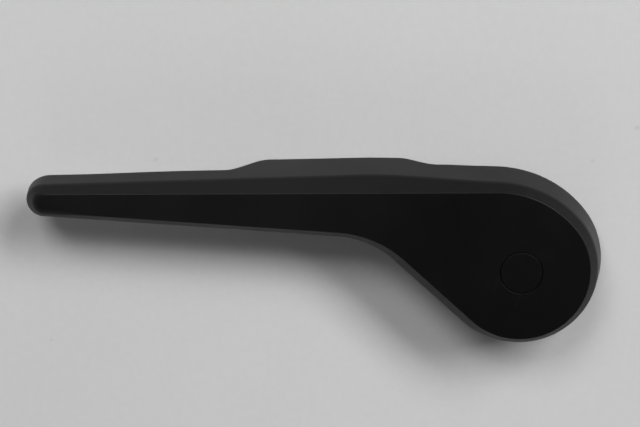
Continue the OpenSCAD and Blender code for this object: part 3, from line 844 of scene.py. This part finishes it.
def threaded_inserts():
    """Three brass inserts with a diamond knurl outside and a thread inside, as one piece."""
    low, high = heights("threaded_inserts")
    inserts = []
    for angle in INSERT_ANGLES:
        spot = polar(INSERT_PITCH_R, angle)
        tap = thread("tap", TAP_R, TAP_DEPTH, low - 0.5, high + 0.5, TAP_PITCH, spot, 32, True)
        inserts.append(cut(knurled("insert", INSERT_R, low, high, spot), tap))
    return joined(inserts)


def knurled(name, radius, low, high, centre, steps=90, rows=28, depth=0.16):
    """A short cylinder with a diamond knurl that fades at both ends."""
    z = np.linspace(low, high, rows + 1)
    slant = KNURL_SLANT * z[:, None]
    waves = KNURL_WAVES * full_turn(steps)[None, :]
    knurl = np.minimum(np.abs(np.sin(waves + slant)), np.abs(np.sin(waves - slant)))
    fade = smooth(np.minimum(z - low, high - z) / KNURL_FADE)[:, None]
    return tube(name, round_rings(radius - depth * (1 - knurl * 0.9 * fade), z, centre))


def buffer_block(node):
    angle, side = BUFFERS[node]
    piece = block(node + "_block", (0, 0, 0), (BUFFER_W, BUFFER_T, BUFFER_H), 0.55)
    return at_buffer(add(piece, buffer_peg()), angle, side)


COIL_START, COIL_TURN, COIL_STEPS = 208.0, 1105.0, 160
COIL_R, COIL_LOW_Z, COIL_PITCH, LEG_L = 13.6, 5.6, 1.65, 12.0
WIRE_R, WIRE_STEPS, WIRE_END = 0.8, 14, 0.75


def spring_path():
    """Centre line of the torsion spring, and the heights of its coil's two ends."""
    angles = COIL_START + COIL_TURN * np.linspace(0, 1, COIL_STEPS + 1)
    coil = np.stack([
        COIL_R * np.cos(np.radians(angles)), COIL_R * np.sin(np.radians(angles)),
        COIL_LOW_Z + COIL_PITCH * (angles - COIL_START) / 360,
    ], 1)
    first, last = coil[0] - coil[1], coil[-1] - coil[-2]
    first[2] = last[2] = 0
    start = [coil[0] + LEG_L * k * first / np.linalg.norm(first) for k in (1.0, 0.97, 0.5)]
    end = [coil[-1] + LEG_L * k * last / np.linalg.norm(last) for k in (0.5, 0.97, 1.0)]
    return np.array([*start, *coil, *end]), (coil[0][2], coil[-1][2])


def return_spring():
    """Round wire along the spring's centre line, with ground ends."""
    path, _ = spring_path()
    tangent = unit_rows(np.gradient(path, axis=0))
    side = unit_rows(np.cross([0, 0, 1], tangent))
    up = np.cross(tangent, side)
    radii = np.full(len(path), WIRE_R)
    radii[[0, -1]] = WIRE_R * WIRE_END
    angles = full_turn(WIRE_STEPS)
    rings = path[:, None] + radii[:, None, None] * (
        np.cos(angles)[None, :, None] * side[:, None] + np.sin(angles)[None, :, None] * up[:, None]
    )
    return merge(tube("spring_wire", rings))


# ---------------- materials
MIDDLE = (0.3, 0.7)  # the part of a noise pattern's range that shows most
COOL, WARM = (0.98, 1.0, 1.03), (1.0, 0.97, 0.88)
WHITE = (1, 1, 1, 1)
HUB_DARK_START, HUB_DARK_END = -0.075, -0.02  # along the lever, in metres: where the colour starts to darken towards the hub, and where the darkening is full


class Surface:
    """A Principled material whose patterns come from nodes; scales count features per metre."""

    def __init__(self, name, **constants):
        self.material = bpy.data.materials.new(name)
        self.material.use_nodes = True
        self.tree = self.material.node_tree
        self.shader = self.tree.nodes["Principled BSDF"]
        for socket, value in constants.items():
            self.shader.inputs[socket.replace("_", " ")].default_value = value
        self.coordinates = self.node("TexCoord").outputs["Object"]

    def node(self, kind, settings=None, **inputs):
        """A new node with its settings and its inputs, which are values or other nodes' outputs."""
        made = self.tree.nodes.new("ShaderNode" + kind)
        for key, value in (settings or {}).items():
            setattr(made, key, value)
        for key, value in inputs.items():
            self.feed(value, made.inputs[key.replace("_", " ")])
        return made

    def feed(self, value, socket):
        if isinstance(value, bpy.types.NodeSocket):
            self.tree.links.new(value, socket)
        else:
            socket.default_value = value

    def shape(self, **outputs):
        """Links finished values to the shader's sockets."""
        for socket, value in outputs.items():
            self.tree.links.new(value, self.shader.inputs[socket.replace("_", " ")])
        return self.material

    def stretched(self, scale, turn=0.0):
        """Coordinates that draw a pattern out into streaks."""
        return self.node("Mapping", Vector=self.coordinates, Scale=scale, Rotation=(0, 0, turn)).outputs[0]

    def noise(self, scale, detail=3.0, roughness=0.55, vector=None):
        made = self.node("TexNoise", Vector=vector or self.coordinates, Scale=scale, Detail=detail)
        made.inputs["Roughness"].default_value = roughness
        return made.outputs["Fac"]

    def around(self, scale):
        """Fine rings about the pivot axis, as a lathe leaves them."""
        made = self.node(
            "TexWave", {"wave_type": "RINGS", "rings_direction": "Z"}, Vector=self.coordinates, Scale=scale
        )
        made.inputs["Distortion"].default_value = 0.6
        return made.outputs["Fac"]

    def spread(self, value, low, high, out_low=0.0, out_high=1.0):
        """Maps low to high onto out_low to out_high and stops there."""
        made = self.node("MapRange", {"clamp": True}, Value=value)
        for key, number in zip(("From Min", "From Max", "To Min", "To Max"), (low, high, out_low, out_high)):
            made.inputs[key].default_value = number
        return made.outputs["Result"]

    def math(self, operation, a, b=0.0):
        made = self.node("Math", {"operation": operation})
        for socket, value in zip(made.inputs, (a, b)):
            self.feed(value, socket)
        return made.outputs["Value"]

    def blended(self, a, share, b):
        """Two patterns added, a with its share and b with the rest."""
        return self.math("ADD", self.math("MULTIPLY", a, share), self.math("MULTIPLY", b, 1 - share))

    def colours(self, value, low, high):
        """A colour that runs from low to high over the middle of a pattern's range."""
        ramp = self.node("ValToRGB", Fac=value)
        for element, position, colour in zip(ramp.color_ramp.elements, MIDDLE, (low, high)):
            element.position = position
            element.color = (*colour, 1.0)
        return ramp.outputs["Color"]

    def blend(self, factor, below, above):
        made = self.node("Mix", {"data_type": "RGBA"})
        for key, value in (("Factor_Float", factor), ("A_Color", below), ("B_Color", above)):
            self.feed(value, next(s for s in made.inputs if s.identifier == key))
        return next(s for s in made.outputs if s.identifier == "Result_Color")

    def edges(self):
        """Strongest on convex edges, broken up as handling wears them."""
        convex = self.spread(self.node("NewGeometry").outputs["Pointiness"], 0.52, 0.60)
        return self.math("MULTIPLY", convex, self.spread(self.noise(260), 0.35, 0.7))

    def relief(self, height, distance, strength=1.0, below=None):
        made = self.node("Bump", Height=height, Distance=distance, Strength=strength)
        if below is not None:
            self.tree.links.new(below, made.inputs["Normal"])
        return made.outputs["Normal"]


def tinted(tone, tint=(1, 1, 1)):
    return tuple(tone * t for t in tint)


def moulded(name, tone, roughness, grain=1.0, tint=COOL, hub_darkening=0.0):
    """Moulded plastic: fine grain, uneven sheen, light scratches, rubbed edges.

    hub_darkening is how much darker the hub end's colour is made than the arm's.
    """
    s = Surface(name, IOR=1.3)
    fine, cloud = s.noise(4200, 2.0), s.noise(36, 4.0)
    scratch = s.spread(s.noise(900, 2.0, 0.5, s.stretched((0.09, 1, 1), 0.5)), 0.70, 0.80)
    crossing = s.spread(s.noise(800, 2.0, 0.5, s.stretched((1, 0.08, 1), -0.8)), 0.72, 0.82)
    lines = s.math("MAXIMUM", scratch, crossing)
    worn = s.edges()
    tint_mix = s.blended(cloud, 0.5, fine)
    base = s.colours(tint_mix, tinted(tone * 0.75, tint), tinted(tone * 1.3, tint))
    if hub_darkening:
        # darker towards the hub end: the colour blends towards a tenth of its tone between the arm and the
        # hub
        along = s.node("SeparateXYZ", Vector=s.coordinates).outputs["X"]
        hub_dark_share = s.spread(along, HUB_DARK_START, HUB_DARK_END, 0.0, hub_darkening)
        base = s.blend(hub_dark_share, base, (*tinted(tone * 0.1, tint), 1))
    colour = s.blend(s.math("MULTIPLY", worn, 0.3), base, (*tinted(tone * 3.5, tint), 1))
    rough = s.spread(cloud, *MIDDLE, roughness - 0.03, roughness + 0.04)
    rough = s.math("ADD", rough, s.math("MULTIPLY", lines, 0.05))
    rough = s.math("SUBTRACT", rough, s.math("MULTIPLY", worn, 0.06))
    bump = s.relief(fine, 0.00004 * grain, 0.5)
    return s.shape(Base_Color=colour, Roughness=rough, Normal=s.relief(lines, 0.000004, 0.5, bump))


def metal(name, colour, roughness, streak, turned_marks=False):
    """Metal with fine streaks or lathe rings, stains, and brighter rubbed edges."""
    s = Surface(name, Metallic=1.0)
    stain = s.noise(90, 4.0)
    marks = s.around(2600) if turned_marks else s.noise(500, 3.0, 0.6, s.stretched((0.08, 1, 1)))
    shade_mix = s.blended(stain, 0.6, marks)
    base = s.colours(shade_mix, tinted(0.72, colour), tinted(1.1, colour))
    bright = s.blend(s.math("MULTIPLY", s.edges(), 0.6), base, (*tinted(1.35, colour), 1))
    rough = s.spread(shade_mix, 0.25, 0.75, roughness - 0.08, roughness + 0.1)
    return s.shape(Base_Color=bright, Roughness=rough, Normal=s.relief(marks, 0.000012 * streak, 0.5))


def soft_stuff(name, dark, light, roughness, scale, depth, sheen=0.0):
    """Rubber, foam or felt: a matt surface broken up by its own pores or fibres."""
    s = Surface(name, Sheen_Weight=sheen)
    pores, cloud = s.noise(scale, 5.0, 0.7), s.noise(scale / 12, 3.0)
    both = s.blended(pores, 0.7, cloud)
    rough = s.spread(pores, *MIDDLE, roughness - 0.08, roughness + 0.05)
    base = s.colours(both, dark, light)
    return s.shape(Base_Color=base, Roughness=rough, Normal=s.relief(pores, depth, 0.8))


def table_top(name, tone):
    """Pale matt board with a faint mottle and a few dust specks; where it rises as a wall it glows with
    painted light, which also lights the scene.
    """
    s = Surface(name, IOR=1.3, Emission_Color=WHITE)
    fleck, cloud = s.noise(420, 4.0), s.noise(9, 4.0)
    dust = s.spread(s.noise(170, 1.0, 0.3), 0.80, 0.84)
    both = s.blended(fleck, 0.4, cloud)
    base = s.colours(both, tinted(tone * 0.965), tinted(tone * 1.035))
    colour = s.blend(s.math("MULTIPLY", dust, 0.25), base, (*tinted(tone * 0.5), 1))
    rough = s.spread(fleck, *MIDDLE, 0.66, 0.76)
    height = s.node("SeparateXYZ", Vector=s.coordinates).outputs["Z"]
    # painted glow: emission that rises from nothing on the table to full strength up the wall, lighting the
    # scene like a lamp
    painted_glow = s.spread(height, 0.0, BEND_R, 0.0, WALL_PAINTED_GLOW)
    bump = s.relief(fleck, 0.00002, 0.3)
    return s.shape(Base_Color=colour, Roughness=rough, Normal=bump, Emission_Strength=painted_glow)


MATERIALS = {
    "lever_plastic": moulded("lever_plastic", 0.0038, 0.44, hub_darkening=0.8),
    "cover_plastic": moulded("cover_plastic", 0.009, 0.52, 1.5),
    "base_plastic": moulded("base_plastic", 0.03, 0.55, 1.8),
    "bush_plastic": moulded("bush_plastic", 0.6, 0.42, 0.6, WARM),
    "pressed_steel": metal("pressed_steel", (0.50, 0.52, 0.55), 0.38, 1.0),
    "turned_steel": metal("turned_steel", (0.60, 0.60, 0.60), 0.26, 0.7, True),
    "spring_steel": metal("spring_steel", (0.30, 0.31, 0.34), 0.32, 0.5),
    "zinc_plated": metal("zinc_plated", (0.66, 0.68, 0.70), 0.30, 0.6),
    "insert_brass": metal("insert_brass", (0.72, 0.52, 0.24), 0.30, 0.8),
    "buffer_rubber": soft_stuff("buffer_rubber", (0.008,) * 3, (0.02,) * 3, 0.72, 2600, 0.00004),
    "felt": soft_stuff("felt", (0.05, 0.052, 0.056), (0.16, 0.165, 0.17), 0.95, 3200, 0.0002, 0.35),
    "seal_foam": soft_stuff("seal_foam", (0.01,) * 3, (0.045,) * 3, 0.92, 3000, 0.0002),
}


# ---------------- pieces in place of the CAD nodes
WELD = 2e-6  # metres


def place(piece, node, body, slot, split=False):
    """Lets a piece stand for its CAD node, in its material, on its body or, with none, to be blended."""
    merge(piece, WELD, split)
    piece.name = node + "_look"
    piece.data.materials.clear()
    piece.data.materials.append(MATERIALS[slot])
    shade(piece)
    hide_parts(node)
    if body:
        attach(piece, body)
    return piece


place(lever_shell(), "lever_shell", "lever", "lever_plastic")
place(steel_core(), "steel_core", "lever", "pressed_steel")
place(countersunk_screws(CORE_SCREW_SPOTS, CORE_Z, CORE_SCREW_L),
      "core_screws", "lever", "zinc_plated", split=True)
place(hub_sleeve(), "hub_sleeve", "lever", "turned_steel")
place(spindle_screw(), "spindle_screw", "lever", "zinc_plated")
place(washer("screw_washer", WASHER_R, WASHER_HOLE_R, 0.15), "screw_washer", "lever", "zinc_plated")
place(dowel("drive_pin", DRIVE_PIN_ANGLE), "drive_pin", "lever", "turned_steel")
place(arm_damper(), "arm_damper", "lever", "felt")
place(rear_cover(), "rear_cover", "lever", "cover_plastic")
place(countersunk_screws(COVER_SCREW_SPOTS, COVER_Z, COVER_SCREW_L),
      "cover_screws", "lever", "zinc_plated", split=True)
place(washer("thrust_washer", HOUSING_R, THRUST_BORE_R, 0.12, 128),
      "thrust_washer", "lever", "turned_steel")
place(retaining_ring(), "retaining_ring", "lever", "spring_steel")
place(hub_cap(), "hub_cap", "cap", "lever_plastic")
place(base_plate(), "base_plate", "base", "base_plastic")
place(bearing_bush(), "bearing_bush", "base", "bush_plastic")
place(wave_washer(), "wave_washer", "base", "spring_steel")
place(threaded_inserts(), "threaded_inserts", "base", "insert_brass", split=True)
place(buffer_block("rest_buffer"), "rest_buffer", "base", "buffer_rubber")
place(buffer_block("end_buffer"), "end_buffer", "base", "buffer_rubber")
place(dowel("anchor_pin", ANCHOR_PIN_ANGLE), "anchor_pin", "base", "turned_steel")
place(washer("base_seal", SEAL_OUT, SEAL_IN, 0.35, 144), "base_seal", "base", "seal_foam")

spring = place(return_spring(), "return_spring", None, "spring_steel")
spring_low, spring_high = spring_path()[1]
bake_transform(spring)


# ---------------- table, camera and light
VIEW_TILT, VIEW_SIDE = math.radians(12.2), math.radians(3.2)
VIEW_DISTANCE = 0.4433
VIEW_SHIFT = Vector((0.0026, 0.0143))
LENS, SENSOR = 85.0, 36.0
TABLE_TONE, TABLE_LIGHT = 0.60, 2.85
SWEEP_R, BEND_R, WALL_HEIGHT, SWEEP_STEPS, BEND_STEPS = 4.0, 1.5, 3.5, 96, 12
# strength of the painted glow on the table's wall
WALL_PAINTED_GLOW = 0.22
LAMP_DISTANCE = 2.4
WORLD_LIGHT = 0.035

centre = (cad_low + cad_high) / 2


def make_table():
    """A round pale table that curves up, far outside the lamps, into a low plain wall."""
    bend = np.radians(np.linspace(0, 90, BEND_STEPS + 1))
    profile = [(SWEEP_R + BEND_R * math.sin(a), BEND_R * (1 - math.cos(a))) for a in bend]
    profile.append((SWEEP_R + BEND_R, WALL_HEIGHT))
    points = [(r * math.cos(a), r * math.sin(a), z) for r, z in profile for a in full_turn(SWEEP_STEPS)]
    faces = [tuple(range(SWEEP_STEPS)), *quads(len(profile), SWEEP_STEPS, flipped=True)]
    table = new_object("table", np.array(points) / MM, faces)
    table.data.polygons.foreach_set("use_smooth", [True] * len(faces))
    table.location = (centre.x, centre.y, cad_low.z)
    table.data.materials.append(table_top("table_top", TABLE_TONE))


def make_camera():
    """Looks down on the face, tilted towards +Y and a little towards +X."""
    data = bpy.data.cameras.new("camera")
    data.lens, data.sensor_width, data.clip_start = LENS, SENSOR, 0.01
    camera = linked("camera", data)
    level = math.cos(VIEW_TILT)
    back = Vector((math.sin(VIEW_SIDE) * level, math.sin(VIEW_TILT), math.cos(VIEW_SIDE) * level))
    right = Vector((0, 1, 0)).cross(back).normalized()
    target = Vector((centre.x + VIEW_SHIFT.x, centre.y + VIEW_SHIFT.y, cad_high.z))
    turn = Matrix((right, back.cross(right), back)).transposed().to_4x4()
    camera.matrix_world = Matrix.Translation(target + VIEW_DISTANCE * back) @ turn
    bpy.context.scene.camera = camera


def soft_box(name, azimuth, elevation, wide, high, share):
    """A rectangular area light that faces the object, with its share of the light on the table."""
    data = bpy.data.lights.new(name, "AREA")
    data.shape, data.size, data.size_y = "RECTANGLE", wide, high
    data.energy = share * TABLE_LIGHT * math.pi * LAMP_DISTANCE**2 / math.sin(math.radians(elevation))
    lamp = linked(name, data)
    a, e = math.radians(azimuth), math.radians(elevation)
    away = Vector((math.cos(a) * math.cos(e), math.sin(a) * math.cos(e), math.sin(e)))
    lamp.location = centre + away * LAMP_DISTANCE
    lamp.rotation_mode = "QUATERNION"
    lamp.rotation_quaternion = away.to_track_quat("Z", "Y")


def make_world(strength):
    """Even white light from all round."""
    world = bpy.data.worlds.new("world")
    world.use_nodes = True
    background = world.node_tree.nodes["Background"]
    background.inputs["Color"].default_value = WHITE
    background.inputs["Strength"].default_value = strength
    bpy.context.scene.world = world


make_table()
make_camera()
soft_box("window", 40, 38, 1.5, 0.6, 0.59)
soft_box("upper_left", 108, 50, 1.0, 0.8, 0.34)
soft_box("front_fill", -95, 32, 1.3, 0.6, 0.03)
make_world(WORLD_LIGHT)
bpy.context.scene.view_settings.view_transform = "Standard"
